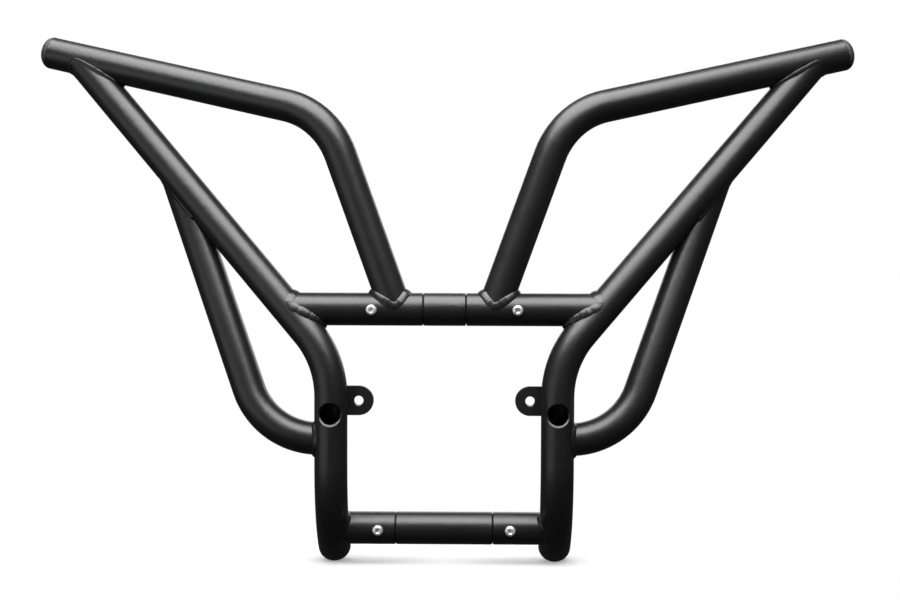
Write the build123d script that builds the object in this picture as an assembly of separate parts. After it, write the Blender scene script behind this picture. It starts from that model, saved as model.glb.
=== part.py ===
from build123d import *
import math
import os

# ATV front bumper: two mirrored welded frames of bent round steel tube, joined
# in the middle by an upper and a lower joiner.
# +X is the vehicle's left-right line, -Y is forwards, +Z is up.
# The origin is midway between the two tab holes, on the rear face of the tabs.

# tube stock and fits
TUBE_OD = 31.75
TUBE_WALL = 2.0
WELD_GAP = 0.25
SLIP_GAP = 0.15
SEAM_GAP = 0.3
BEND_CLR = 76.2
CORNER_CLR = 88.9
BRACE_CLR = 73.0
SWEEP_CLR = 101.6

# uprights and the lower sweep
UPRIGHT_X = 108.5
CORNER_Z = 40.0
SWEEP_TOP_Z = -61.5
SWEEP_ANGLE = 55.0
FOOT_TAIL = 4.0

# wing tube: corner, tip and the place where it lands on the upper cross tube
LEG_FOOT_X = 47.0
UPPER_CROSS_Z = 88.0
WING_CORNER_X = 115.0
WING_CORNER_Z = 275.5
WING_CORNER_BACK = 24.0
WING_TIP_X = 396.5
WING_TIP_Z = 340.5
WING_SWEEP_ANGLE = 15.5
DIAGONAL_SHARE = 0.898

# brace tube
BRACE_TOP_SHARE = 0.614
BRACE_CORNER_X = 172.0
BRACE_FOOT_Z = -36.5
BRACE_SET_BACK = 8.0
BRACE_FOOT_LAP = 3.0
BRACE_TONGUE = 7.0

# cross tubes, joiners and their screws
LOWER_CROSS_Z = -126.0
LOWER_CROSS_BACK = 3.0
UPPER_SEAM_X = 21.0
LOWER_SEAM_X = 47.5
UPPER_SCREW_X = 70.0
LOWER_SCREW_X = 64.0
SLEEVE_EDGE = 1.2
STUB_EDGE = 0.5
SPIGOT_WALL = 3.0
SPIGOT_PAST_SCREW = 14.0

# M6 button head screw and the nut welded inside the spigot
SCREW_D = 6.0
SCREW_CLEAR = 0.3
THREAD_GAP = 0.1
HEAD_D = 10.5
HEAD_H = 3.3
HEAD_EDGE = 0.8
SOCKET_AF = 4.0
SOCKET_DEEP = 2.0
SCREW_LENGTH = 16.0
NUT_AF = 10.0
NUT_H = 5.0
NUT_GAP = 0.1

# front hole in each upright
FRONT_HOLE_Z = -11.0
FRONT_HOLE_D = 19.8
FRONT_HOLE_LIP = 1.7

# tab
TAB_T = 5.0
TAB_HALF_H = 14.25
TAB_HOLE_X = 82.5
TAB_HOLE_D = 9.0
TAB_HOLE_LIP = 1.0
TAB_ROOT_IN = 6.0

# domed end plug
PLUG_DOME = 11.0
PLUG_CROWN_R = 20.0
PLUG_EDGE = 0.5
PLUG_INSERT = 10.0

# weld beads
BEAD_WIDTH = 6.0
BEAD_CROWN = 0.9
BEAD_LEG_MOST = 9.0
BEAD_HEEL_SHARE = 0.5
BEAD_LEAN = 0.35
BEAD_GAP = 0.4
BEAD_CLEAR = 0.05
BEAD_REACH = 110.0
BEAD_TOL = 0.01
BEAD_SIDES = 20

# derived sizes
TUBE_R = TUBE_OD / 2
BORE_R = TUBE_R - TUBE_WALL
AXIS_Y = -TUBE_R
COPE_R = TUBE_R + WELD_GAP
SPIGOT_R = BORE_R - SLIP_GAP


def bend(before, corner, after, radius):
    """Two tangent points and the middle of a bend at a corner."""
    u = (before - corner).normalized()
    v = (after - corner).normalized()
    half = math.radians(u.get_angle(v)) / 2
    reach = radius / math.tan(half)
    centre = corner + (u + v).normalized() * (radius / math.sin(half))
    middle = centre + (corner - centre).normalized() * radius
    return corner + u * reach, middle, corner + v * reach


def centre_line(points, radii):
    """Straight runs through the points with an arc at every inner point."""
    edges = []
    start = points[0]
    for i, radius in enumerate(radii):
        a, middle, b = bend(points[i], points[i + 1], points[i + 2], radius)
        edges.append(Line(start, a))
        edges.append(ThreePointArc(a, middle, b))
        start = b
    edges.append(Line(start, points[-1]))
    return Wire([e.edge() for e in edges])


def rod(path, radius):
    """Solid round bar of the given radius along a centre line."""
    face = Plane(origin=path @ 0, z_dir=path % 0) * Circle(radius)
    return sweep(face, path=path)


def tube(path):
    """Bent tube of the common stock along a centre line."""
    return rod(path, TUBE_R) - rod(path, BORE_R)


def one(shape):
    """The largest solid left after a cope."""
    return max(shape.solids(), key=lambda s: s.volume)


def across(x, y, z, radius, length):
    """Bar along the fore-and-aft line, its front end at y."""
    return Pos(x, y, z) * Rot(-90, 0, 0) * Cylinder(
        radius, length, align=(Align.CENTER, Align.CENTER, Align.MIN))


def bar_x(x0, x1, y, z, radius):
    """Bar along the left-right line between two stations."""
    return Pos(x0, y, z) * Rot(0, 90, 0) * Cylinder(
        radius, x1 - x0, align=(Align.CENTER, Align.CENTER, Align.MIN))


# the wing tube's corner and tip
wing_corner = Vector(WING_CORNER_X, AXIS_Y + WING_CORNER_BACK, WING_CORNER_Z)
wing_back = (WING_TIP_X - WING_CORNER_X) * math.tan(math.radians(WING_SWEEP_ANGLE))
wing_tip = Vector(WING_TIP_X, wing_corner.Y + wing_back, WING_TIP_Z)

# the diagonal runs from the upright's corner to the wing's axis
upright_corner = Vector(UPRIGHT_X, AXIS_Y, CORNER_Z)
diagonal_top = wing_corner + (wing_tip - wing_corner) * DIAGONAL_SHARE
diagonal = diagonal_top - upright_corner

# the upper cross tube lies at the diagonal's own depth at that height
cross_share = (UPPER_CROSS_Z - CORNER_Z) / diagonal.Z
cross_joint = upright_corner + diagonal * cross_share
UPPER_Y = cross_joint.Y

# the lower cross tube lies just behind the sweep's axis at its height
sweep_drop = SWEEP_TOP_Z - LOWER_CROSS_Z
sweep_depth = SWEEP_CLR - math.sqrt(SWEEP_CLR ** 2 - sweep_drop ** 2)
LOWER_Y = AXIS_Y + sweep_depth + LOWER_CROSS_BACK


def main_path():
    """Diagonal, upright and rearward sweep in one length of tube."""
    turn = math.radians(SWEEP_ANGLE)
    reach = SWEEP_CLR * math.tan(turn / 2)
    low_corner = Vector(UPRIGHT_X, AXIS_Y, SWEEP_TOP_Z - reach)
    rearward = Vector(0, math.sin(turn), -math.cos(turn))
    foot_end = low_corner + rearward * (reach + FOOT_TAIL)
    points = [diagonal_top, upright_corner, low_corner, foot_end]
    return centre_line(points, [CORNER_CLR, SWEEP_CLR])


def wing_path():
    """Leg from the upper cross tube, bend and swept outer run."""
    leg_foot = Vector(LEG_FOOT_X, UPPER_Y, UPPER_CROSS_Z)
    return centre_line([leg_foot, wing_corner, wing_tip], [BEND_CLR])


def brace_path():
    """Leg below the diagonal, bend and foot against the upright."""
    back = Vector(0, BRACE_SET_BACK, 0)
    top = upright_corner + diagonal * BRACE_TOP_SHARE + back
    corner = Vector(BRACE_CORNER_X, AXIS_Y + BRACE_SET_BACK, BRACE_FOOT_Z)
    foot = Vector(UPRIGHT_X + BRACE_FOOT_LAP, corner.Y, BRACE_FOOT_Z)
    return centre_line([top, corner, foot], [BRACE_CLR])


def main_tube():
    """Main tube with the chamfered hole in the upright's front wall."""
    start = AXIS_Y - TUBE_OD
    body = tube(main_path()) - across(UPRIGHT_X, start, FRONT_HOLE_Z, FRONT_HOLE_D / 2, TUBE_OD)
    near = Vector(UPRIGHT_X, AXIS_Y - TUBE_R, FRONT_HOLE_Z)
    boxes = [(e, e.bounding_box()) for e in body.edges()]
    mouth = [(e, b) for e, b in boxes if (b.center() - near).length < FRONT_HOLE_D / 2]
    outer = min(mouth, key=lambda m: m[1].min.Y)[0]
    body = chamfer([outer], FRONT_HOLE_LIP)
    return one(body - rod(wing_path(), COPE_R))


def wing_tube():
    body = tube(wing_path())
    return one(body - bar_x(0, UPRIGHT_X, UPPER_Y, UPPER_CROSS_Z, COPE_R))


def behind(axis_point, along, outward):
    """Cutter that trims what a set-back end would leave behind a main tube."""
    rearward = along.cross(outward)
    if rearward.Y < 0:
        rearward = rearward * -1
    frame = Plane(origin=axis_point, x_dir=along, z_dir=rearward)
    inward = -1 if frame.y_dir.dot(outward) > 0 else 1
    block = Box(4 * TUBE_OD, 2 * TUBE_OD, TUBE_OD, align=(Align.CENTER, Align.CENTER, Align.MIN))
    shift = inward * (TUBE_OD - BRACE_TONGUE)
    return frame * Pos(0, shift, BORE_R) * block


def brace_tube():
    """Brace coped to the main tube at both ends."""
    body = tube(brace_path()) - rod(main_path(), COPE_R)
    along = diagonal.normalized()
    side = Vector(1, 0, 0)
    outward = (side - along * side.dot(along)).normalized()
    top = upright_corner + diagonal * BRACE_TOP_SHARE
    body -= behind(top, along, outward)
    foot = Vector(UPRIGHT_X, AXIS_Y, BRACE_FOOT_Z)
    body -= behind(foot, Vector(0, 0, 1), side)
    return one(body)


def outer_ends(body, sides):
    """Outer rim edges of a straight cross tube at its lowest or highest X."""
    rims = body.edges().filter_by(GeomType.CIRCLE).filter_by(lambda e: e.radius > BORE_R)
    return [rims.sort_by(Axis.X)[side] for side in sides]


def stub(seam_x, end_x, screw_x, y, z):
    """Cross stub from its seam to the main tube, drilled for its screw."""
    body = bar_x(seam_x, end_x, y, z, TUBE_R) - bar_x(seam_x, end_x, y, z, BORE_R)
    body = chamfer(outer_ends(body, (0,)), STUB_EDGE)
    hole = across(screw_x, y - TUBE_OD, z, SCREW_D / 2 + SCREW_CLEAR, TUBE_OD)
    return one(body - hole - rod(main_path(), COPE_R))


def upper_stub():
    return stub(UPPER_SEAM_X, cross_joint.X, UPPER_SCREW_X, UPPER_Y, UPPER_CROSS_Z)


def lower_stub():
    return stub(LOWER_SEAM_X, UPRIGHT_X, LOWER_SCREW_X, LOWER_Y, LOWER_CROSS_Z)


def sleeve(seam_x, y, z):
    """Outer sleeve of the joiner, between the two seams."""
    end = seam_x - SEAM_GAP
    inner = SPIGOT_R + SLIP_GAP
    body = bar_x(-end, end, y, z, TUBE_R) - bar_x(-end, end, y, z, inner)
    return chamfer(outer_ends(body, (0, -1)), SLEEVE_EDGE)


def spigot(screw_x, y, z):
    """Inner tube of the joiner, reaching into both stubs."""
    end = screw_x + SPIGOT_PAST_SCREW
    body = bar_x(-end, end, y, z, SPIGOT_R)
    body -= bar_x(-end, end, y, z, SPIGOT_R - SPIGOT_WALL)
    for side in (-1, 1):
        body -= across(side * screw_x, y - TUBE_OD, z, SCREW_D / 2 + SCREW_CLEAR, TUBE_OD)
    return one(body)


def screw(x, y, z):
    """Button head socket screw, entering from the front."""
    front = y - TUBE_R
    rise = HEAD_H - HEAD_EDGE
    half = HEAD_D / 2
    crown = (rise ** 2 + half ** 2) / (2 * rise)
    dome = Pos(x, front - HEAD_H + crown, z) * Sphere(crown)
    head = across(x, front - HEAD_H, z, half, HEAD_H) & dome
    shank = across(x, front, z, SCREW_D / 2, SCREW_LENGTH)
    key = extrude(Plane.XZ * RegularPolygon(SOCKET_AF / 2, 6, major_radius=False), -SOCKET_DEEP)
    return one(head + shank - Pos(x, front - HEAD_H, z) * key)


def nut(x, y, z):
    """Hexagon nut welded by two of its edges to the inside of the spigot."""
    inner = SPIGOT_R - SPIGOT_WALL
    seat = y - math.sqrt(inner ** 2 - (NUT_AF / 2) ** 2) + NUT_GAP
    body = extrude(Plane.XZ * RegularPolygon(NUT_AF / 2, 6, major_radius=False), -NUT_H)
    body = Pos(x, seat, z) * body
    return one(body - across(x, seat, z, SCREW_D / 2 + THREAD_GAP, NUT_H))


def tab():
    """Flat tab with a rounded end, coped to the inner rear of the upright."""
    root = UPRIGHT_X - TAB_ROOT_IN
    outline = Pos(TAB_HOLE_X, 0) * Circle(TAB_HALF_H)
    outline += Pos((TAB_HOLE_X + root) / 2, 0) * Rectangle(root - TAB_HOLE_X, 2 * TAB_HALF_H)
    plate = extrude(Plane.XZ * outline, TAB_T)
    plate -= across(TAB_HOLE_X, -TAB_T, 0, TAB_HOLE_D / 2, TAB_T)
    lip = Cone(TAB_HOLE_D / 2 + TAB_HOLE_LIP, TAB_HOLE_D / 2, TAB_HOLE_LIP,
               align=(Align.CENTER, Align.CENTER, Align.MIN))
    plate -= Pos(TAB_HOLE_X, -TAB_T, 0) * Rot(-90, 0, 0) * lip
    return one(plate - rod(main_path(), COPE_R))


def plug(path):
    """Domed plug pressed into the far end of a tube."""
    foot_up = (Align.CENTER, Align.CENTER, Align.MIN)
    crown = Pos(0, 0, PLUG_DOME - PLUG_CROWN_R) * Sphere(PLUG_CROWN_R)
    cap = Cylinder(TUBE_R, PLUG_DOME, align=foot_up) & crown
    cap = chamfer(cap.faces().sort_by(Axis.Z)[0].edges(), PLUG_EDGE)
    cap += Pos(0, 0, -PLUG_INSERT) * Cylinder(BORE_R - SLIP_GAP, PLUG_INSERT, align=foot_up)
    return one(Plane(origin=path @ 1, z_dir=path % 1) * cap)


def closest(path, point):
    """Nearest point of a centre line."""
    return path.distance_to_with_closest_points(Vertex(*point))[1]


def landing(start, into_own, other):
    """Where a generator of a tube's straight end meets the other tube, if it does."""
    high = BEAD_REACH
    low = high
    while (start + into_own * low - closest(other, start + into_own * low)).length > COPE_R:
        if low == 0:
            return None
        high = low
        low = max(low - BEAD_WIDTH, 0)
    while high - low > BEAD_TOL:
        middle = (low + high) / 2
        spot = start + into_own * middle
        if (spot - closest(other, spot)).length < COPE_R:
            low = middle
        else:
            high = middle
    return start + into_own * high


def landings(own, other, end):
    """Seam points of a tube's straight end, generator by generator."""
    into_own = (own % end) * (1 - 2 * end)
    rear = Vector(0, 1, 0)
    rear = (rear - into_own * rear.dot(into_own)).normalized()
    side = into_own.cross(rear)
    spots = []
    for i in range(BEAD_SIDES):
        angle = 2 * math.pi * i / BEAD_SIDES
        normal = rear * math.cos(angle) + side * math.sin(angle)
        spots.append(landing(own @ end + normal * TUBE_R, into_own, other))
    return [spot for spot in spots if spot], into_own


def foot(path, point):
    """Point of a bead's foot, just clear of a tube's outer wall."""
    axis_point = closest(path, point)
    return axis_point + (point - axis_point).normalized() * (TUBE_R + BEAD_GAP)


def lengthwise(path, point, heading):
    """A heading turned to run along the tube, unless it goes mostly round it."""
    run = path.tangent_at(path.param_at_point(closest(path, point)))
    lean = run.dot(heading)
    return run * math.copysign(1, lean) if abs(lean) > BEAD_LEAN else heading


def bead_section(spot, along, own, other, into_own):
    """Heel, two feet and crown of the bead at one seam point."""
    first = (spot - closest(own, spot)).normalized()
    second = (spot - closest(other, spot)).normalized()
    turn = 1 if along.cross(first).dot(into_own) > 0 else -1
    up_own = along.cross(first) * turn
    up_other = along.cross(second) * -turn
    away = (first + second + up_own + up_other).normalized()
    least = BEAD_WIDTH / 2
    leg = min(least / away.dot(first), BEAD_LEG_MOST)
    own_foot = foot(own, spot + into_own * leg)
    other_foot = foot(other, spot + lengthwise(other, spot, up_other) * leg)
    crown = (own_foot + other_foot) * 0.5 + away * BEAD_CROWN
    heel = spot + away * (BEAD_GAP + (leg - least) * BEAD_HEEL_SHARE)
    return [heel, own_foot, crown, other_foot]


def facet(a, b, c):
    return Face(Wire.make_polygon([a, b, c], close=True))


def bead(own, other, end):
    """Weld bead round a tube's end, built up from seam point to seam point."""
    spots, into_own = landings(own, other, end)
    count = len(spots)
    closed = count == BEAD_SIDES
    sections = []
    for i, spot in enumerate(spots):
        after = spots[(i + 1) % count] if closed else spots[min(i + 1, count - 1)]
        before = spots[i - 1] if closed else spots[max(i - 1, 0)]
        sections.append(bead_section(spot, (after - before).normalized(), own, other, into_own))
    facets = []
    for i in range(count if closed else count - 1):
        near, far = sections[i], sections[(i + 1) % count]
        for j in range(4):
            facets.append(facet(near[j - 1], near[j], far[j]))
            facets.append(facet(near[j - 1], far[j], far[j - 1]))
    if not closed:
        for heel, own_foot, crown, other_foot in (sections[0], sections[-1]):
            facets += [facet(heel, own_foot, crown), facet(heel, crown, other_foot)]
    return one(Solid(Shell(facets)) - rod(own, TUBE_R + BEAD_CLEAR) - rod(other, TUBE_R + BEAD_CLEAR))


def tab_bead():
    """Straight weld bead between the tab's front face and the upright."""
    depth = -TAB_T - AXIS_Y
    corner = UPRIGHT_X - math.sqrt(COPE_R ** 2 - depth ** 2)
    turn = math.atan2(depth, corner - UPRIGHT_X) + BEAD_WIDTH / TUBE_R
    reach = TUBE_R + BEAD_GAP
    tube_foot = Vector(UPRIGHT_X + reach * math.cos(turn), AXIS_Y + reach * math.sin(turn))
    tab_foot = Vector(corner - BEAD_WIDTH, -TAB_T)
    heel = Vector(corner - BEAD_CROWN, -TAB_T)
    middle = (tab_foot + tube_foot) * 0.5
    crown = middle + (middle - heel).normalized() * BEAD_CROWN
    section = make_face(Wire.make_polygon([heel, tab_foot, crown, tube_foot], close=True))
    return extrude(Pos(0, 0, -TAB_HALF_H) * section, 2 * TAB_HALF_H, dir=(0, 0, 1)).solid()


def pair(name, shape):
    """Write a right-hand piece and its mirrored left-hand twin."""
    write("right_" + name, shape)
    write("left_" + name, mirror(shape, about=Plane.YZ))


def write(name, shape):
    export_step(shape, "parts/" + name + ".step")


def four(make):
    """The same fastener at all four screw stations."""
    places = []
    for x, y, z in ((UPPER_SCREW_X, UPPER_Y, UPPER_CROSS_Z), (LOWER_SCREW_X, LOWER_Y, LOWER_CROSS_Z)):
        places += [make(-x, y, z), make(x, y, z)]
    return Compound(children=places)


os.makedirs("parts", exist_ok=True)
main_axis = main_path()
wing_axis = wing_path()
brace_axis = brace_path()
upper_axis = Wire([Edge.make_line((0, UPPER_Y, UPPER_CROSS_Z), cross_joint)])
lower_axis = Wire([Edge.make_line((0, LOWER_Y, LOWER_CROSS_Z), (UPRIGHT_X, LOWER_Y, LOWER_CROSS_Z))])

pair("main_tube", main_tube())
pair("wing_tube", wing_tube())
pair("brace_tube", brace_tube())
pair("upper_stub", upper_stub())
pair("lower_stub", lower_stub())
pair("tab", tab())
pair("wing_plug", plug(wing_axis))
pair("foot_plug", plug(main_axis))
pair("wing_weld", bead(main_axis, wing_axis, 0))
pair("leg_weld", bead(wing_axis, upper_axis, 0))
pair("upper_stub_weld", bead(upper_axis, main_axis, 1))
pair("lower_stub_weld", bead(lower_axis, main_axis, 1))
pair("brace_top_weld", bead(brace_axis, main_axis, 0))
pair("brace_foot_weld", bead(brace_axis, main_axis, 1))
pair("tab_weld", tab_bead())
write("upper_sleeve", sleeve(UPPER_SEAM_X, UPPER_Y, UPPER_CROSS_Z))
write("lower_sleeve", sleeve(LOWER_SEAM_X, LOWER_Y, LOWER_CROSS_Z))
write("upper_spigot", spigot(UPPER_SCREW_X, UPPER_Y, UPPER_CROSS_Z))
write("lower_spigot", spigot(LOWER_SCREW_X, LOWER_Y, LOWER_CROSS_Z))
write("joint_screws", four(screw))
write("joint_nuts", four(nut))
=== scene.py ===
import bmesh
import bpy
import math
from bpy.props import FloatProperty, FloatVectorProperty, IntProperty, PointerProperty
from mathutils import Matrix, Vector, noise as field


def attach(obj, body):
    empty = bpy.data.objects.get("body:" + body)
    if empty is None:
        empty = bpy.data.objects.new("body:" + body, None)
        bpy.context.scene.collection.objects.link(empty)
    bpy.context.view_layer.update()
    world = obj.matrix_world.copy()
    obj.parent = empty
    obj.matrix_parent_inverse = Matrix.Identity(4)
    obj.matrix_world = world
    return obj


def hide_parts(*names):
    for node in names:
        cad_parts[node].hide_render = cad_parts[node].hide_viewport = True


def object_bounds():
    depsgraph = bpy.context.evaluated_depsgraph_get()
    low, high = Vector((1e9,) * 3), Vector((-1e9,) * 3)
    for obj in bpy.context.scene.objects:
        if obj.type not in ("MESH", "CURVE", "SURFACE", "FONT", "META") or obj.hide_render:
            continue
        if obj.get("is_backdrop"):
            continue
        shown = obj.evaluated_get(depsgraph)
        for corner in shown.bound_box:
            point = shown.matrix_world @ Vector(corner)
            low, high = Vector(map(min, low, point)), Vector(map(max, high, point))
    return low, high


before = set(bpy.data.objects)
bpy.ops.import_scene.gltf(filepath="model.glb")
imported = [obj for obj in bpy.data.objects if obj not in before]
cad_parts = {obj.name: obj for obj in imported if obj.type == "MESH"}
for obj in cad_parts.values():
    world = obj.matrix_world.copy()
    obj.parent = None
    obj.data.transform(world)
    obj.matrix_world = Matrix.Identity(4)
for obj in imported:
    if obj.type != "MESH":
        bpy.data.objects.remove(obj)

bl_info = {
    "name": "ATV Front Bumper",
    "version": (1, 0, 0),
    "blender": (4, 5, 0),
    "location": "3D View > Sidebar > Bumper",
    "description": "Coats the bumper's tubes, lays its weld beads and sets its screws in a studio",
    "category": "Add Mesh",
}

MM = 0.001

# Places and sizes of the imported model, in millimetres and degrees.
TUBE_R = 15.875
WELD_GAP = 0.25
AXIS_Y = -15.875
UPRIGHT_X = 108.5
CORNER_Z = 40.0
SWEEP_TOP_Z = -61.5
SWEEP_ANGLE = 55.0
CORNER_CLR = 88.9
SWEEP_CLR = 101.6
FOOT_TAIL = 4.0
LEG_FOOT_X = 47.0
UPPER_CROSS_Z = 88.0
WING_CORNER = Vector((115.0, AXIS_Y + 24.0, 275.5))
WING_TIP_X = 396.5
WING_TIP_Z = 340.5
WING_SWEEP_ANGLE = 15.5
DIAGONAL_SHARE = 0.898
BRACE_TOP_SHARE = 0.614
BRACE_CORNER_X = 172.0
BRACE_FOOT_Z = -36.5
BRACE_SET_BACK = 8.0
LOWER_CROSS_Z = -126.0
LOWER_CROSS_BACK = 3.0
TAB_T = 5.0
TAB_HALF_H = 14.25
TAB_ROOT_IN = 6.0
PLUG_DOME = 11.0
PLUG_INSERT = 10.0
PLUG_INSERT_R = 13.725
HEAD_R = 5.25
HEAD_H = 3.3
SHANK_R = 3.0
SHANK_LENGTH = 16.0
SOCKET_HALF = 2.0
SOCKET_DEEP = 2.0
UPPER_SCREW_X = 70.0
LOWER_SCREW_X = 64.0

# Places that follow from them.
WING_TIP = Vector((
    WING_TIP_X,
    WING_CORNER.y + (WING_TIP_X - WING_CORNER.x) * math.tan(math.radians(WING_SWEEP_ANGLE)),
    WING_TIP_Z,
))
UPRIGHT_CORNER = Vector((UPRIGHT_X, AXIS_Y, CORNER_Z))
DIAGONAL_TOP = WING_CORNER.lerp(WING_TIP, DIAGONAL_SHARE)
CROSS_SHARE = (UPPER_CROSS_Z - CORNER_Z) / (DIAGONAL_TOP - UPRIGHT_CORNER).z
CROSS_JOINT = UPRIGHT_CORNER.lerp(DIAGONAL_TOP, CROSS_SHARE)
UPPER_Y = CROSS_JOINT.y
REARWARD = Vector((
    0.0, math.sin(math.radians(SWEEP_ANGLE)), -math.cos(math.radians(SWEEP_ANGLE))))
SWEEP_DROP = SWEEP_TOP_Z - LOWER_CROSS_Z
LOWER_Y = AXIS_Y + SWEEP_CLR - math.sqrt(SWEEP_CLR ** 2 - SWEEP_DROP ** 2) + LOWER_CROSS_BACK

# Search for a seam along a tube's wall: lengths in tube radii, the step in millimetres.
SEARCH_BEFORE = 3.2
SEARCH_LIMIT = 5.6
SEARCH_STEP = 1.0
SEARCH_HALVINGS = 14
SEAM_STATIONS = 240
TAB_LONG_STEPS = 14
TAB_SHORT_STEPS = 3

# Weld beads: each bead's share of the leg length, the section's least sizes in millimetres,
# the spacing of the stations, the lumps, the growth at open ends and the noise's starts.
BEAD_SHARES = {
    "tab_weld": 0.5,
    "wing_weld": 0.66,
    "leg_weld": 1.0,
    "upper_stub_weld": 1.05,
    "brace_top_weld": 0.55,
    "brace_foot_weld": 0.70,
    "lower_stub_weld": 0.65,
}
TOE_SINK = 0.35
LEAST_RISE = 0.42
LEAST_HALF = 0.6
SHOULDER_POWER = 1.7
SECTIONS_A_RIPPLE = 6
LEAST_STATIONS = 8
FINE_LUMPS_SCALE = 0.30
SLOW_LUMPS_SCALE = 0.11
FINE_LUMPS_SHARE = 0.5
SLOW_LUMPS_SHARE = 0.8
END_REACH = 0.15
END_GROWTH = 0.12
SEED_START = 0.4
SEED_STEP = 1.7

# Plug profile in millimetres. The seam's rows hold depth below the tube's wall and height.
PLUG_SEAM = ((1.2, 0.0), (1.1, 0.35), (0.45, 0.62), (0.1, 0.95))
PLUG_EDGE = 1.0
PLUG_BORE = 0.6
PLUG_RIM_H = 1.4
PLUG_DOME_ROWS = 14
PLUG_POLE_GAP = 0.35
PLUG_SIDES = 72

# Screw profile in millimetres. The socket's rows hold a radius from its half width, a
# height from the head's top and the share of a hexagon. The head's edge rows hold depth
# inside the head's radius and height.
SOCKET_FLOOR = ((-1.7, -SOCKET_DEEP - 0.45, 0.0), (-0.6, -SOCKET_DEEP - 0.12, 0.6))
SOCKET_WALL = (
    (0.0, -SOCKET_DEEP, 1.0), (0.0, -0.42, 1.0), (0.06, -0.3, 1.0), (0.38, -0.12, 0.5),
    (0.62, -0.06, 0.15))
HEAD_EDGE = ((0.05, 0.62), (0.0, 0.45), (0.08, 0.12), (0.3, 0.0))
CROWN_INNER = 0.62
CROWN_EDGE = 0.13
CROWN_FOOT_H = 0.75
CROWN_DROP = 0.06
CROWN_ROWS = 9
CROWN_TURNS = 9.6
CROWN_POWER = 0.8
SHANK_CHAMFER = 0.6
SCREW_SIDES = 60

# Edges that turn by more than this many degrees stay sharp.
SHARP_ANGLE = 38.0

# Stage, in metres. Each light has its place, target and size, and its power's property.
LIGHTS = {
    "top_light": ((-0.1, -0.56, 1.75), (0.0, 0.0, 0.1), (2.3, 2.07), "top_power"),
    "right_spot": ((0.85, -1.15, 1.25), (-0.1, 0.0, 0.05), (0.45, 0.45), "spot_power"),
    "left_fill": ((-2.0, -1.7, -0.1), (0.0, 0.0, -0.1), (2.6, 1.2), "fill_power"),
    "back_light": ((0.4, 2.4, 0.8), (0.0, 0.0, 0.1), (2.8, 1.2), "back_power"),
}
ROOM_STRENGTH = 0.05
FLOOR_RADIUS = 7.0
FLOOR_SIDES = 96
SURROUND_RADIUS = 7.9
SHADE_BACK = 0.035
SHADE_INNER = 0.01
SHADE_OUTER = 0.15
SHADE_LEAST = 0.25
SENSOR_WIDTH = 36.0
CLIP_NEAR = 0.05
CLIP_FAR = 60.0
WHITE = (1.0, 1.0, 1.0, 1.0)

COATED = ("main_tube", "wing_tube", "brace_tube", "upper_stub", "lower_stub", "tab")


class BumperFinish(bpy.types.PropertyGroup):
    """Colours and surface sizes of the bumper's finishes."""

    coat_colour: FloatVectorProperty(
        name="Coat Colour", description="Colour of the black powder coat",
        subtype="COLOR", size=3, min=0.0, max=1.0, default=(0.0058, 0.0058, 0.0061))
    coat_roughness: FloatProperty(
        name="Coat Roughness", description="Mean roughness of the powder coat",
        subtype="FACTOR", min=0.0, max=1.0, default=0.355)
    coat_grain: FloatProperty(
        name="Coat Grain", description="Width of the powder coat's fine grain",
        subtype="DISTANCE", unit="LENGTH", min=0.0001, max=0.01, default=0.0014)
    plug_colour: FloatVectorProperty(
        name="Plug Colour", description="Colour of the moulded end plugs",
        subtype="COLOR", size=3, min=0.0, max=1.0, default=(0.022, 0.022, 0.023))
    screw_colour: FloatVectorProperty(
        name="Screw Colour", description="Colour of the bright plated screws",
        subtype="COLOR", size=3, min=0.0, max=1.0, default=(0.86, 0.86, 0.85))
    # The spigots show only through the joiner seams: their near-black colour is painted shade that
    # keeps those seams dark.
    seam_shade_colour: FloatVectorProperty(
        name="Primer Colour",
        description="Colour of the thin primer on the tubes inside the joiners",
        subtype="COLOR", size=3, min=0.0, max=1.0, default=(0.006, 0.006, 0.006))


class BumperWelds(bpy.types.PropertyGroup):
    """Sizes of the weld beads."""

    leg: FloatProperty(
        name="Leg Length", description="Reach of a bead along each tube it joins",
        subtype="DISTANCE", unit="LENGTH", min=0.0005, max=0.01, default=0.0042)
    crown: FloatProperty(
        name="Crown", description="Height of a bead's crown as a share of its half width",
        subtype="FACTOR", min=0.1, max=1.5, default=0.18)
    pitch: FloatProperty(
        name="Ripple Pitch", description="Distance between two ripples of a bead",
        subtype="DISTANCE", unit="LENGTH", min=0.0005, max=0.02, default=0.0026)
    ripple: FloatProperty(
        name="Ripple Depth", description="Depth of the ripples as a share of the bead's width",
        subtype="FACTOR", min=0.0, max=0.5, default=0.045)
    lumps: FloatProperty(
        name="Lumps", description="Unevenness of a bead's reach as a share of the reach",
        subtype="FACTOR", min=0.0, max=0.6, default=0.22)
    rounding: FloatProperty(
        name="Rounding", description="Length over which a bead rounds a sharp turn of its seam",
        subtype="DISTANCE", unit="LENGTH", min=0.0, max=0.02, default=0.0050)
    sides: IntProperty(
        name="Section Sides", description="Number of sides of a bead's section",
        min=6, max=32, default=16)


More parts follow.
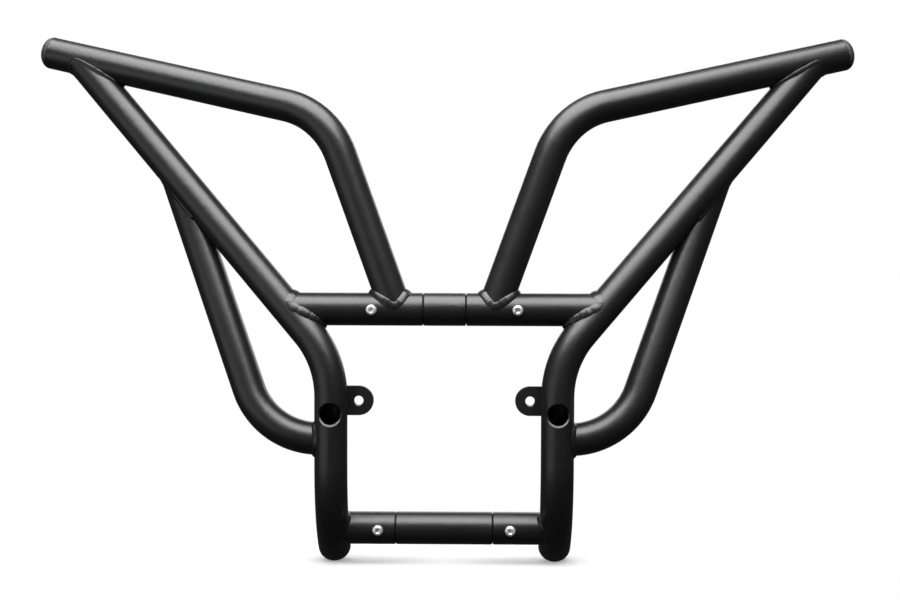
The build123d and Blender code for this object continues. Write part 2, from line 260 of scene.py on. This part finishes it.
class BumperStage(bpy.types.PropertyGroup):
    """The floor, the lights and the camera."""

    floor_colour: FloatVectorProperty(
        name="Floor Colour", description="Colour of the plain floor",
        subtype="COLOR", size=3, min=0.0, max=1.0, default=(0.66, 0.66, 0.66))
    top_power: FloatProperty(
        name="Top Light", description="Power of the large soft light above",
        unit="POWER", min=0.0, default=150.0)
    spot_power: FloatProperty(
        name="Right Spot", description="Power of the small light in front on the right",
        unit="POWER", min=0.0, default=3.2)
    fill_power: FloatProperty(
        name="Left Fill", description="Power of the weak soft light in front on the left",
        unit="POWER", min=0.0, default=9.5)
    back_power: FloatProperty(
        name="Back Light", description="Power of the soft light behind",
        unit="POWER", min=0.0, default=26.0)
    lens: FloatProperty(
        name="Lens", description="Focal length of the camera on a 36 mm sensor",
        subtype="DISTANCE_CAMERA", unit="CAMERA", min=10.0, max=300.0, default=68.0)
    camera_place: FloatVectorProperty(
        name="Camera Place", description="Where the camera stands",
        subtype="TRANSLATION", unit="LENGTH", size=3, default=(0.0237, -1.6352, 0.1751))
    camera_turn: FloatVectorProperty(
        name="Camera Turn", description="The camera's yaw, pitch and roll",
        subtype="EULER", unit="ROTATION", size=3, default=(-0.0114, -0.0477, 0.0034))


class Wire:
    """An output socket whose sums and products become Math nodes."""

    def __init__(self, tree, socket=None):
        self.tree = tree
        self.socket = socket

    def node(self, kind, settings=None, inputs=None, output=0):
        """Any node: its settings first, then the values or links of its sockets."""
        made = self.tree.nodes.new(kind)
        for name, value in (settings or {}).items():
            setattr(made, name, value)
        for name, value in (inputs or {}).items():
            if isinstance(value, Wire):
                self.tree.links.new(value.socket, made.inputs[name])
            else:
                made.inputs[name].default_value = value
        return Wire(self.tree, made.outputs[output]) if len(made.outputs) else None

    def math(self, operation, first, second):
        """A Math node on two values or sockets."""
        return self.node("ShaderNodeMath", {"operation": operation}, {0: first, 1: second})

    def __add__(self, other):
        return self.math("ADD", self, other)

    def __radd__(self, other):
        return self.math("ADD", other, self)

    def __mul__(self, other):
        return self.math("MULTIPLY", self, other)

    def __rmul__(self, other):
        return self.math("MULTIPLY", other, self)


def new_material(name):
    """An empty node material and the wire that its nodes start from."""
    material = bpy.data.materials.new(name)
    material.use_nodes = True
    material.node_tree.nodes.clear()
    return material, Wire(material.node_tree)


def object_place(start):
    """The place on the piece, in Object coordinates."""
    return start.node("ShaderNodeTexCoord", output="Object")


def noise(start, place, scale, detail, roughness):
    """A mask of soft noise."""
    return start.node(
        "ShaderNodeTexNoise", {"noise_dimensions": "3D"},
        {"Vector": place, "Scale": scale, "Detail": detail, "Roughness": roughness},
        "Fac")


def blend(first, second, share):
    """Two masks in one, where the first has the share."""
    return first * share + second * (1.0 - share)


def tint(start, mask, colour, darkest, lightest):
    """A colour that runs from its darkest to its lightest tone with a mask."""
    low = [c * darkest for c in colour]
    high = [min(1.0, c * lightest) for c in colour]
    return start.node(
        "ShaderNodeMix", {"data_type": "RGBA"},
        {0: mask, 6: (*low, 1.0), 7: (*high, 1.0)}, 2)


def bump(start, height, distance, normal=None):
    """A relief of the given depth, on top of another one if there is one."""
    links = {"Height": height, "Distance": distance}
    if normal:
        links["Normal"] = normal
    return start.node("ShaderNodeBump", {}, links, "Normal")


def finish_surface(start, sockets):
    """The surface shader and the material's output."""
    shader = start.node("ShaderNodeBsdfPrincipled", {}, sockets, "BSDF")
    start.node("ShaderNodeOutputMaterial", {}, {"Surface": shader})


def powder_coat(name, grain, colour, roughness, swell):
    """Satin powder coat: fine grain over a slow orange peel, with faint patches."""
    material, start = new_material(name)
    place = object_place(start)
    patches = noise(start, place, scale=22.0, detail=4.0, roughness=0.6)
    specks = noise(start, place, scale=1.0 / grain, detail=3.0, roughness=0.6)
    peel = noise(start, place, scale=0.22 / grain, detail=1.0, roughness=0.4)
    shade = blend(patches, specks, share=0.6)
    spread = 0.18
    speck_depth = 0.07 * grain
    waves = bump(start, peel, distance=swell * grain)
    finish_surface(start, {
        "Base Color": tint(start, shade, colour, darkest=0.55, lightest=1.7),
        "Roughness": roughness - spread / 2 + shade * spread,
        "Specular IOR Level": 0.5,
        "Normal": bump(start, specks, speck_depth, waves),
    })
    return material


def moulded_plastic(name, colour):
    """Matte moulded plastic with a fine spark-eroded grain."""
    material, start = new_material(name)
    place = object_place(start)
    grain = noise(start, place, scale=2600.0, detail=2.0, roughness=0.6)
    patches = noise(start, place, scale=90.0, detail=3.0, roughness=0.5)
    shade = blend(grain, patches, share=0.5)
    least_rough, spread = 0.52, 0.12
    finish_surface(start, {
        "Base Color": tint(start, shade, colour, darkest=0.75, lightest=1.3),
        "Roughness": least_rough + patches * spread,
        "Normal": bump(start, grain, distance=0.00004),
    })
    return material


def plated_steel(name, colour, roughness):
    """Bright plated steel with a fine grain and faint handling marks."""
    material, start = new_material(name)
    place = object_place(start)
    marks = noise(start, place, scale=420.0, detail=4.0, roughness=0.65)
    fine = noise(start, place, scale=3200.0, detail=2.0, roughness=0.5)
    shade = blend(marks, fine, share=0.7)
    spread = 0.14
    finish_surface(start, {
        "Base Color": tint(start, shade, colour, darkest=0.82, lightest=1.12),
        "Metallic": 0.72,
        "Roughness": roughness + marks * spread,
        "Normal": bump(start, shade, distance=0.00001),
    })
    return material


def set_material(obj, material):
    """The material on every slot of a node or a new piece."""
    slots = obj.data.materials
    if not len(slots):
        slots.append(material)
    for i in range(len(slots)):
        slots[i] = material


def nearest_on_run(point, first, last):
    """Nearest point of a straight run."""
    along = last - first
    share = (point - first).dot(along) / along.length_squared
    return first + along * min(1.0, max(0.0, share))


def nearest_on_bend(point, centre, radius, start_dir, side_dir, turn):
    """Nearest point of an arc that starts along start_dir from its centre."""
    away = point - centre
    angle = math.atan2(away.dot(side_dir), away.dot(start_dir))
    angle = min(turn, max(0.0, angle))
    return centre + (start_dir * math.cos(angle) + side_dir * math.sin(angle)) * radius


def bend_of(before, corner, after, radius):
    """Tangent points and arc of a tube's bend at a corner."""
    u = (before - corner).normalized()
    v = (after - corner).normalized()
    half = u.angle(v) / 2
    reach = radius / math.tan(half)
    centre = corner + (u + v).normalized() * (radius / math.sin(half))
    first = corner + u * reach
    start_dir = (first - centre).normalized()
    side_dir = -u
    return first, corner + v * reach, (centre, radius, start_dir, side_dir, math.pi - 2 * half)


def main_line():
    """Runs and bends of the main tube: diagonal, upright and sweep."""
    reach = SWEEP_CLR * math.tan(math.radians(SWEEP_ANGLE) / 2)
    low = Vector((UPRIGHT_X, AXIS_Y, SWEEP_TOP_Z - reach))
    foot = low + REARWARD * (reach + FOOT_TAIL)
    a, b, arc = bend_of(DIAGONAL_TOP, UPRIGHT_CORNER, low, CORNER_CLR)
    c, d, sweep = bend_of(UPRIGHT_CORNER, low, foot, SWEEP_CLR)
    return [
        ("run", DIAGONAL_TOP, a), ("bend", *arc), ("run", b, c), ("bend", *sweep),
        ("run", d, foot)]


def nearest(point, line):
    """Nearest point of a centre line."""
    found = []
    for kind, *sizes in line:
        seek = nearest_on_run if kind == "run" else nearest_on_bend
        found.append(seek(point, *sizes))
    return min(found, key=lambda p: (p - point).length)


def clear_of(point, line):
    """How far a point is from a tube's weld gap, negative once it is inside."""
    return (nearest(point, line) - point).length - TUBE_R - WELD_GAP


def meeting(point, step, line, limit):
    """Where a line along a tube's wall first meets the other tube, or None."""
    travelled = 0.0
    while clear_of(point, line) > 0.0:
        point = point + step
        travelled += step.length
        if travelled > limit:
            return None
    low, high = point - step, point
    for _ in range(SEARCH_HALVINGS):
        middle = (low + high) / 2
        if clear_of(middle, line) > 0.0:
            low = middle
        else:
            high = middle
    return high


def joint_path(start, end, line):
    """Stations round a coped end: the seam's point and both surfaces' normals."""
    along = (end - start).normalized()
    side = along.orthogonal().normalized()
    other = along.cross(side)
    first = end - along * SEARCH_BEFORE * TUBE_R
    stations = []
    for i in range(SEAM_STATIONS):
        turn = 2 * math.pi * i / SEAM_STATIONS
        outward = side * math.cos(turn) + other * math.sin(turn)
        hit = meeting(
            first + outward * TUBE_R, along * SEARCH_STEP, line, SEARCH_LIMIT * TUBE_R)
        if hit is None:
            stations.append(None)
        else:
            wall = (hit - nearest(hit, line)).normalized()
            stations.append((hit, outward, wall))
    return stations


def longest_stretch(stations):
    """The stations as one closed ring, or as the longest open stretch that meets the tube."""
    if None not in stations:
        return stations, True
    n = len(stations)
    gaps = [i for i, s in enumerate(stations) if s is None]
    best = []
    for g in gaps:
        stretch = []
        i = g + 1
        while stations[i % n] is not None and len(stretch) < n:
            stretch.append(stations[i % n])
            i += 1
        if len(stretch) > len(best):
            best = stretch
    return best, False


def even_stations(stations, closed, spacing):
    """The same line with its stations a fixed distance apart."""
    points = stations + stations[:1] if closed else stations
    lengths = [0.0]
    for a, b in zip(points, points[1:]):
        lengths.append(lengths[-1] + (b[0] - a[0]).length)
    count = max(LEAST_STATIONS, round(lengths[-1] / spacing))
    made = []
    j = 0
    for i in range(count if closed else count + 1):
        at = lengths[-1] * i / count
        while j < len(lengths) - 2 and lengths[j + 1] < at:
            j += 1
        share = (at - lengths[j]) / max(1e-9, lengths[j + 1] - lengths[j])
        a, b = points[j], points[j + 1]
        made.append((at, *(p.lerp(q, share) for p, q in zip(a, b))))
    return made, lengths[-1]


def settled(point, lines):
    """A point moved out to the wall of each tube that it lies inside."""
    for line in lines:
        middle = nearest(point, line)
        if (point - middle).length < TUBE_R:
            point = middle + (point - middle).normalized() * TUBE_R
    return point


def rounded(made, closed, reach, lines):
    """The same stations with the seam's sharp turns drawn round."""
    count = len(made)
    turned = []
    for i, (at, *_) in enumerate(made):
        near = [i + k for k in range(-reach, reach + 1)]
        near = [k % count if closed else min(count - 1, max(0, k)) for k in near]
        point, first, second = (
            sum((made[k][j] for k in near), Vector()) / len(near) for j in (1, 2, 3))
        turned.append((at, settled(point, lines), first.normalized(), second.normalized()))
    return turned


def bead_sections(stations, closed, welds, lines, leg, seed):
    """One matrix for each section of a bead, in millimetres."""
    pitch = welds.pitch / MM
    step = pitch / SECTIONS_A_RIPPLE
    made, length = even_stations(stations, closed, step)
    made = rounded(made, closed, round(welds.rounding / MM / step), lines)
    count = len(made)
    ripples = max(1, round(length / pitch))
    sections = []
    for i, (at, point, first, second) in enumerate(made):
        before = made[i - 1][1] if closed or i else point
        after = made[(i + 1) % count][1] if closed or i < count - 1 else point
        along = (after - before).normalized()
        first = (first - along * first.dot(along)).normalized()
        second = (second - along * second.dot(along)).normalized()
        out = (first + second).normalized()
        opening = math.pi - first.angle(second, 0.0)
        phase = math.pi * ripples * at / length
        wave = 1.0 - welds.ripple * (1.0 - abs(math.sin(phase)))
        fine = field.noise(point * FINE_LUMPS_SCALE + Vector((seed, 0.0, 0.0)))
        slow = field.noise(point * SLOW_LUMPS_SCALE + Vector((0.0, seed, 0.0)))
        lumps = FINE_LUMPS_SHARE * fine + SLOW_LUMPS_SHARE * slow
        reach = leg * wave * (1.0 + welds.lumps * lumps)
        if not closed:
            reach *= min(1.0, END_REACH + min(i, count - 1 - i) * END_GROWTH)
        half = max(reach * math.sin(opening / 2), LEAST_HALF)
        swell = 1.0 + FINE_LUMPS_SHARE * welds.lumps * fine
        rise = max(half * welds.crown * wave * swell, LEAST_RISE)
        across = along.cross(out).normalized()
        section = Matrix((across * half, out * rise, along)).transposed().to_4x4()
        section.translation = point + out * (reach * math.cos(opening / 2) - TOE_SINK)
        sections.append(section)
    return sections


def bead_mesh(sections, closed, sides):
    """A bead drawn through its sections, closed into a ring or with closed ends."""
    bm = bmesh.new()
    verts = bmesh.ops.create_circle(bm, segments=sides, radius=1.0, cap_ends=False)["verts"]
    for vert in verts:
        if vert.co.y > 0.0:
            vert.co.y = vert.co.y ** SHOULDER_POWER
    bmesh.ops.transform(bm, matrix=sections[0], verts=verts)
    edges = list(bm.edges)
    first = edges
    for a, b in zip(sections, sections[1:]):
        made = bmesh.ops.extrude_edge_only(bm, edges=edges)["geom"]
        verts = [e for e in made if isinstance(e, bmesh.types.BMVert)]
        edges = [e for e in made if isinstance(e, bmesh.types.BMEdge)]
        bmesh.ops.transform(bm, matrix=b @ a.inverted(), verts=verts)
    if closed:
        bmesh.ops.bridge_loops(bm, edges=first + edges)
    else:
        bmesh.ops.holes_fill(bm, edges=first + edges, sides=0)
    bmesh.ops.recalc_face_normals(bm, faces=bm.faces)
    return bm


def lathe(rows, sides):
    """A turned form about Z: rows of radius, height and share of a hexagon."""
    bm = bmesh.new()
    verts = bmesh.ops.create_circle(bm, segments=sides, radius=1.0, cap_ends=False)["verts"]
    first = edges = list(bm.edges)
    for i, row in enumerate(rows):
        if i:
            made = bmesh.ops.extrude_edge_only(bm, edges=edges)["geom"]
            verts = [e for e in made if isinstance(e, bmesh.types.BMVert)]
            edges = [e for e in made if isinstance(e, bmesh.types.BMEdge)]
        set_row(verts, *row)
    bmesh.ops.holes_fill(bm, edges=first + edges, sides=0)
    bmesh.ops.recalc_face_normals(bm, faces=bm.faces)
    return bm


def set_row(verts, radius, height, hexagon):
    """Moves a ring of vertices to a radius and height, part of the way to a hexagon."""
    for vert in verts:
        turn = math.atan2(vert.co.y, vert.co.x)
        corner = 1.0 / math.cos(turn % (math.pi / 3) - math.pi / 6)
        reach = radius * (1.0 + hexagon * (corner - 1.0))
        vert.co = (reach * math.cos(turn), reach * math.sin(turn), height)


def placed(bm, place, direction):
    """Turns a form's Z to a direction and moves its foot to a place."""
    turned = direction.to_track_quat("Z", "Y").to_matrix().to_4x4()
    turned.translation = place
    bmesh.ops.transform(bm, matrix=turned, verts=bm.verts)
    return bm


def finished_piece(name, bm, material, node):
    """A bmesh in millimetres becomes a piece at the origin that stands for a node."""
    bmesh.ops.transform(bm, matrix=Matrix.Scale(MM, 4), verts=bm.verts)
    mesh = bpy.data.meshes.new(name)
    bm.to_mesh(mesh)
    bm.free()
    mesh.shade_smooth()
    mesh.set_sharp_from_angle(angle=math.radians(SHARP_ANGLE))
    piece = bpy.data.objects.new(name, mesh)
    bpy.context.scene.collection.objects.link(piece)
    set_material(piece, material)
    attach(piece, "root")
    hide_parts(node)


def mirrored(bm):
    """The left-hand twin of a right-hand piece."""
    twin = bm.copy()
    flip = Matrix.Scale(-1.0, 4, (1.0, 0.0, 0.0))
    bmesh.ops.transform(twin, matrix=flip, verts=twin.verts)
    bmesh.ops.reverse_faces(twin, faces=twin.faces)
    return twin


def tab_stations():
    """The seam round a tab's root, as points with both surfaces' normals."""
    axis = Vector((UPRIGHT_X, AXIS_Y, 0.0))
    reach = math.sqrt(TUBE_R ** 2 - (TUBE_R - TAB_T) ** 2)
    front = Vector((UPRIGHT_X - reach, -TAB_T, 0.0))
    back = Vector((UPRIGHT_X - TAB_ROOT_IN, 0.0, 0.0))
    up = Vector((0.0, 0.0, TAB_HALF_H))
    before, above = Vector((0.0, -1.0, 0.0)), Vector((0.0, 0.0, 1.0))
    corners = [
        (front - up, before), (front + up, before), (front + up, above), (back + up, above),
        (back + up, -before), (back - up, -before), (back - up, -above), (front - up, -above),
    ]
    stations = []
    for i, (point, face) in enumerate(corners):
        after, face_after = corners[(i + 1) % len(corners)]
        steps = TAB_LONG_STEPS if i % 2 == 0 else TAB_SHORT_STEPS
        for k in range(steps):
            here = point.lerp(after, k / steps)
            flat = face.lerp(face_after, k / steps).normalized()
            wall = here - axis
            wall.z = 0.0
            stations.append((here, flat, wall.normalized()))
    return stations


class BUMPER_OT_coat(bpy.types.Operator):
    """Coats the tubes, stubs, sleeves and tabs with satin black powder coat"""

    bl_idname = "bumper.coat"
    bl_label = "Coat Tubes"

    def execute(self, context):
        finish = context.scene.bumper_finish
        coat = powder_coat(
            "satin_black_coat", finish.coat_grain, tuple(finish.coat_colour),
            roughness=finish.coat_roughness, swell=0.10)
        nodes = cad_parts
        names = [side + "_" + part for side in ("left", "right") for part in COATED]
        for name in names + ["upper_sleeve", "lower_sleeve"]:
            set_material(nodes[name], coat)
        return {"FINISHED"}


class BUMPER_OT_inner_steel(bpy.types.Operator):
    """Gives the spigots a black coat that paints the shade of the joiner seams, and the nuts
    inside them their plating
    """

    bl_idname = "bumper.inner_steel"
    bl_label = "Finish Inner Steel"

    def execute(self, context):
        finish = context.scene.bumper_finish
        # Painted shade: the spigots are coated black so that the joiner seams, which show them,
        # read as shaded lines.
        seam_shade_coat = powder_coat(
            "dark_primer", finish.coat_grain, tuple(finish.seam_shade_colour),
            roughness=0.55, swell=0.05)
        for name in ("upper_spigot", "lower_spigot"):
            set_material(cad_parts[name], seam_shade_coat)
        plating = plated_steel("nut_plating", tuple(finish.screw_colour), roughness=0.3)
        set_material(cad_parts["joint_nuts"], plating)
        return {"FINISHED"}


def plug_rows():
    """Insert, seam groove, rim and elliptical dome of an end plug."""
    rows = [
        (PLUG_BORE, PLUG_EDGE - PLUG_INSERT, 0.0),
        (PLUG_INSERT_R - PLUG_EDGE, PLUG_EDGE - PLUG_INSERT, 0.0),
        (PLUG_INSERT_R, 2.0 * PLUG_EDGE - PLUG_INSERT, 0.0),
        (PLUG_INSERT_R, 0.0, 0.0),
    ]
    rows += [(TUBE_R - depth, height, 0.0) for depth, height in PLUG_SEAM]
    for i in range(PLUG_DOME_ROWS + 1):
        turn = math.pi / 2 * i / (PLUG_DOME_ROWS + PLUG_POLE_GAP)
        height = PLUG_RIM_H + (PLUG_DOME - PLUG_RIM_H) * math.sin(turn)
        rows.append((TUBE_R * math.cos(turn), height, 0.0))
    return rows


class BUMPER_OT_plugs(bpy.types.Operator):
    """Puts the domed end plugs of moulded plastic into the tubes' ends"""

    bl_idname = "bumper.plugs"
    bl_label = "Make Plugs"

    def execute(self, context):
        finish = context.scene.bumper_finish
        plastic = moulded_plastic("plug_plastic", tuple(finish.plug_colour))
        wing_end = (WING_TIP, (WING_TIP - WING_CORNER).normalized())
        foot_end = (main_line()[-1][2], REARWARD)
        for part, (place, direction) in {"wing_plug": wing_end, "foot_plug": foot_end}.items():
            bm = placed(lathe(plug_rows(), PLUG_SIDES), place, direction)
            twin = mirrored(bm)
            finished_piece("right_" + part + "_dome", bm, plastic, "right_" + part)
            finished_piece("left_" + part + "_dome", twin, plastic, "left_" + part)
        return {"FINISHED"}


def screw_rows():
    """Socket, crowned head and shank of a button head screw, from the socket's floor outwards."""
    rows = [
        (SOCKET_HALF + radius, HEAD_H + height, share)
        for radius, height, share in SOCKET_FLOOR + SOCKET_WALL]
    inner = SOCKET_HALF + CROWN_INNER
    for i in range(1, CROWN_ROWS + 1):
        turn = math.pi / 2 * i / CROWN_TURNS
        radius = inner + (HEAD_R - inner - CROWN_EDGE) * math.sin(turn)
        fall = HEAD_H - CROWN_DROP - CROWN_FOOT_H
        rows.append((radius, CROWN_FOOT_H + fall * math.cos(turn) ** CROWN_POWER, 0.0))
    rows += [(HEAD_R - depth, height, 0.0) for depth, height in HEAD_EDGE]
    rows += [
        (SHANK_R, 0.0, 0.0),
        (SHANK_R, SHANK_CHAMFER - SHANK_LENGTH, 0.0),
        (SHANK_R - SHANK_CHAMFER, -SHANK_LENGTH, 0.0),
    ]
    return rows


class BUMPER_OT_screws(bpy.types.Operator):
    """Sets the four plated button head screws in the joiners"""

    bl_idname = "bumper.screws"
    bl_label = "Make Screws"

    def execute(self, context):
        finish = context.scene.bumper_finish
        plating = plated_steel("screw_plating", tuple(finish.screw_colour), roughness=0.24)
        forward = Vector((0.0, -1.0, 0.0))
        upper = (UPPER_SCREW_X, UPPER_Y - TUBE_R, UPPER_CROSS_Z)
        lower = (LOWER_SCREW_X, LOWER_Y - TUBE_R, LOWER_CROSS_Z)
        screws = bmesh.new()
        for x, y, z in (upper, lower):
            for side in (-1, 1):
                bm = placed(lathe(screw_rows(), SCREW_SIDES), Vector((side * x, y, z)), forward)
                mesh = bpy.data.meshes.new("screw")
                bm.to_mesh(mesh)
                bm.free()
                screws.from_mesh(mesh)
                bpy.data.meshes.remove(mesh)
        finished_piece("joint_screw_set", screws, plating, "joint_screws")
        return {"FINISHED"}


class BUMPER_OT_welds(bpy.types.Operator):
    """Lays a rippled weld bead round every welded joint of both frames"""

    bl_idname = "bumper.welds"
    bl_label = "Lay Weld Beads"

    def execute(self, context):
        finish = context.scene.bumper_finish
        welds = context.scene.bumper_welds
        coat = powder_coat(
            "coated_weld", finish.coat_grain, tuple(finish.coat_colour),
            roughness=finish.coat_roughness - 0.05, swell=0.16)
        main = main_line()
        wing = [("run", WING_CORNER, WING_TIP)]
        back = Vector((0.0, BRACE_SET_BACK, 0.0))
        brace_top = UPRIGHT_CORNER.lerp(DIAGONAL_TOP, BRACE_TOP_SHARE) + back
        brace_corner = Vector((BRACE_CORNER_X, AXIS_Y, BRACE_FOOT_Z)) + back
        brace_foot = Vector((UPRIGHT_X, AXIS_Y, BRACE_FOOT_Z)) + back
        leg_foot = Vector((LEG_FOOT_X, UPPER_Y, UPPER_CROSS_Z))
        cross_start = Vector((0.0, UPPER_Y, UPPER_CROSS_Z))
        cross = [("run", cross_start, CROSS_JOINT)]
        lower_start = Vector((0.0, LOWER_Y, LOWER_CROSS_Z))
        lower_end = Vector((UPRIGHT_X, LOWER_Y, LOWER_CROSS_Z))
        joints = {
            "wing_weld": (UPRIGHT_CORNER, DIAGONAL_TOP, wing),
            "leg_weld": (WING_CORNER, leg_foot, cross),
            "upper_stub_weld": (cross_start, CROSS_JOINT, main),
            "brace_top_weld": (brace_corner, brace_top, main),
            "brace_foot_weld": (brace_corner, brace_foot, main),
            "lower_stub_weld": (lower_start, lower_end, main),
        }
        seams = {"tab_weld": (tab_stations(), [])}
        for name, (start, end, other) in joints.items():
            seams[name] = (joint_path(start, end, other), [[("run", start, end)], other])
        for i, (name, (stations, lines)) in enumerate(seams.items()):
            stretch, closed = longest_stretch(stations)
            if len(stretch) < LEAST_STATIONS:
                raise RuntimeError("no seam found for " + name)
            leg = welds.leg / MM * BEAD_SHARES[name]
            seed = SEED_STEP * i + SEED_START
            sections = bead_sections(stretch, closed, welds, lines, leg, seed)
            bm = bead_mesh(sections, closed, welds.sides)
            twin = mirrored(bm)
            finished_piece(
                "right_" + name + "_bead", bm, coat, "right_" + name)
            finished_piece(
                "left_" + name + "_bead", twin, coat, "left_" + name)
        return {"FINISHED"}


def area_light(name, place, target, size, power):
    """A soft rectangular light that points at a place."""
    data = bpy.data.lights.new(name, "AREA")
    data.shape = "RECTANGLE"
    data.size, data.size_y = size
    data.energy = power
    light = bpy.data.objects.new(name, data)
    light.location = place
    light.rotation_mode = "QUATERNION"
    light.rotation_quaternion = (Vector(target) - Vector(place)).to_track_quat("-Z", "Y")
    light.visible_camera = False
    bpy.context.scene.collection.objects.link(light)


def white_glow(start):
    """A plain white surface that no light changes."""
    return start.node("ShaderNodeEmission", {}, {"Color": WHITE, "Strength": 1.0})


def floor_material(colour, height):
    """A white floor that takes the bumper's soft shade only round the two feet."""
    material, start = new_material("pale_floor")
    place = object_place(start)
    cloud = noise(start, place, scale=1.5, detail=2.0, roughness=0.5)
    foot = main_line()[-1][2] * MM
    from_feet = [
        start.node(
            "ShaderNodeVectorMath", {"operation": "DISTANCE"},
            {0: place, 1: (side * foot.x, foot.y + SHADE_BACK, height)}, "Value")
        for side in (-1, 1)]
    fade = start.node(
        "ShaderNodeMapRange", {"interpolation_type": "SMOOTHSTEP"}, {
            "Value": start.math("MINIMUM", *from_feet),
            "From Min": SHADE_INNER,
            "From Max": SHADE_OUTER,
            "To Min": SHADE_LEAST,
            "To Max": 1.0,
        }, "Result")
    shaded = start.node("ShaderNodeBsdfPrincipled", {}, {
        "Base Color": tint(start, cloud, colour, darkest=0.985, lightest=1.0),
        "Roughness": 1.0,
        "Specular IOR Level": 0.0,
    }, "BSDF")
    mixed = start.node("ShaderNodeMixShader", {}, {0: fade, 1: shaded, 2: white_glow(start)})
    start.node("ShaderNodeOutputMaterial", {}, {"Surface": mixed})
    return material


def camera_turn(yaw, pitch, roll):
    """The camera's matrix for a yaw to the right, a pitch upwards and a roll."""
    ahead = Vector((
        math.sin(yaw) * math.cos(pitch), math.cos(yaw) * math.cos(pitch), math.sin(pitch)))
    right = Vector((math.cos(yaw), -math.sin(yaw), 0.0))
    up = right.cross(ahead)
    right, up = (
        right * math.cos(roll) + up * math.sin(roll),
        up * math.cos(roll) - right * math.sin(roll))
    return Matrix((right, up, -ahead)).transposed().to_4x4()


class BUMPER_OT_stage(bpy.types.Operator):
    """Sets the pale floor, the pale surround, the soft lights and the camera"""

    bl_idname = "bumper.stage"
    bl_label = "Set Stage"

    def execute(self, context):
        scene = context.scene
        stage = scene.bumper_stage
        low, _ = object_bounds()

        bm = bmesh.new()
        bmesh.ops.create_circle(
            bm, cap_ends=True, segments=FLOOR_SIDES, radius=FLOOR_RADIUS,
            matrix=Matrix.Translation((0.0, 0.0, low.z)))
        self.shell("floor", bm, floor_material(tuple(stage.floor_colour), low.z))

        surround, start = new_material("pale_surround")
        start.node("ShaderNodeOutputMaterial", {}, {"Surface": white_glow(start)})
        bm = bmesh.new()
        bmesh.ops.create_icosphere(bm, subdivisions=4, radius=SURROUND_RADIUS)
        bmesh.ops.reverse_faces(bm, faces=bm.faces)
        self.shell("surround", bm, surround)

        for name, (place, target, size, power) in LIGHTS.items():
            area_light(name, place, target, size, getattr(stage, power))
        world = bpy.data.worlds.new("dim_room")
        world.use_nodes = True
        backdrop = world.node_tree.nodes["Background"]
        backdrop.inputs["Color"].default_value = WHITE
        backdrop.inputs["Strength"].default_value = ROOM_STRENGTH
        scene.world = world

        data = bpy.data.cameras.new("photo_camera")
        data.sensor_width = SENSOR_WIDTH
        data.lens = stage.lens
        data.clip_start = CLIP_NEAR
        data.clip_end = CLIP_FAR
        camera = bpy.data.objects.new("photo_camera", data)
        turned = camera_turn(*stage.camera_turn)
        turned.translation = stage.camera_place
        camera.matrix_world = turned
        scene.collection.objects.link(camera)
        scene.camera = camera

        scene.view_settings.view_transform = "Standard"
        scene.view_settings.look = "None"
        scene.view_settings.exposure = 0.0
        return {"FINISHED"}

    def shell(self, name, bm, material):
        """A part of the stage that the camera sees and that throws no light on the bumper."""
        mesh = bpy.data.meshes.new(name)
        bm.to_mesh(mesh)
        bm.free()
        piece = bpy.data.objects.new(name, mesh)
        bpy.context.scene.collection.objects.link(piece)
        set_material(piece, material)
        piece.visible_diffuse = False
        piece.visible_glossy = False
        piece.visible_transmission = False
        piece.visible_shadow = False
        piece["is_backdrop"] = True


class BUMPER_PT_panel(bpy.types.Panel):
    """Sizes, colours and steps of the bumper"""

    bl_label = "ATV Front Bumper"
    bl_idname = "BUMPER_PT_panel"
    bl_space_type = "VIEW_3D"
    bl_region_type = "UI"
    bl_category = "Bumper"

    def draw(self, context):
        layout = self.layout
        for group_name in GROUPS:
            group = getattr(context.scene, group_name)
            box = layout.box()
            for name in group.__annotations__:
                box.prop(group, name)
        for step in STEPS:
            layout.operator(step.bl_idname)


STEPS = (
    BUMPER_OT_coat, BUMPER_OT_inner_steel, BUMPER_OT_plugs, BUMPER_OT_screws,
    BUMPER_OT_welds, BUMPER_OT_stage,
)
GROUPS = {
    "bumper_finish": BumperFinish,
    "bumper_welds": BumperWelds,
    "bumper_stage": BumperStage,
}


def register():
    for cls in (*GROUPS.values(), *STEPS, BUMPER_PT_panel):
        bpy.utils.register_class(cls)
    for name, group in GROUPS.items():
        setattr(bpy.types.Scene, name, PointerProperty(type=group))


def unregister():
    for name in GROUPS:
        delattr(bpy.types.Scene, name)
    for cls in (BUMPER_PT_panel, *reversed(STEPS), *reversed(list(GROUPS.values()))):
        bpy.utils.unregister_class(cls)


def main():
    """Makes every piece in order."""
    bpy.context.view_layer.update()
    register()
    bpy.ops.bumper.coat()
    bpy.ops.bumper.inner_steel()
    bpy.ops.bumper.plugs()
    bpy.ops.bumper.screws()
    bpy.ops.bumper.welds()
    bpy.ops.bumper.stage()
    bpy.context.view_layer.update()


if __name__ == "__main__":
    main()
